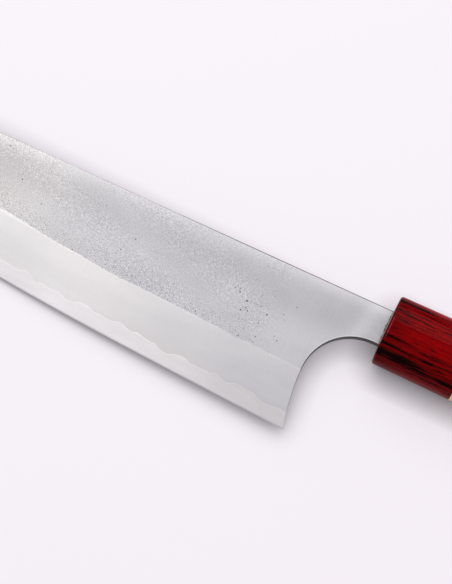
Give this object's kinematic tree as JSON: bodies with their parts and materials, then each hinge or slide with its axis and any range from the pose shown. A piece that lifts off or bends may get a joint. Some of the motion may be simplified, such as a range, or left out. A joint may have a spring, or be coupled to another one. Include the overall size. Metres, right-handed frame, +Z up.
{
  "type": "gyuto kitchen knife",
  "caption": "Japanese-style chef's knife with a three-layer steel blade, wide bevel, curved choil and an oval wooden handle with a dark red ferrule.",
  "frame": {"origin": "centre of the footprint, on the surface that the knife lies on", "axes": "+X from the tip towards the butt of the handle, +Y from the cutting edge towards the spine, +Z up from the surface, out of the blade's left face; the knife lies on its right side, resting on the belly of its edge and the front rim of its ferrule, so the blade is tilted about 6 degrees edge down and 2 degrees tip down"},
  "size_m": [0.3936, 0.0582, 0.0245],
  "materials": {
    "core_steel": "hard carbon steel, fine satin from whetstones",
    "cladding_steel": "softer steel, pear-skin speckle above the bevel and fine satin on it",
    "red_pakkawood": "polished laminated wood, deep red with black streaks",
    "magnolia": "plain sanded cream wood with fine grain",
    "dowel_wood": "unfinished hidden wood",
    "tang_glue": "hardened adhesive, hidden",
    "mouth_filler": "rough tan filler"
  },
  "bodies": {
    "root": {"core_steel": "core_steel", "cladding_left": "cladding_steel", "cladding_right": "cladding_steel", "ferrule": "red_pakkawood", "handle_body": "magnolia", "tang_dowel": "dowel_wood", "tang_adhesive": "tang_glue", "mouth_seal": "mouth_filler"}
  },
  "joints": []
}
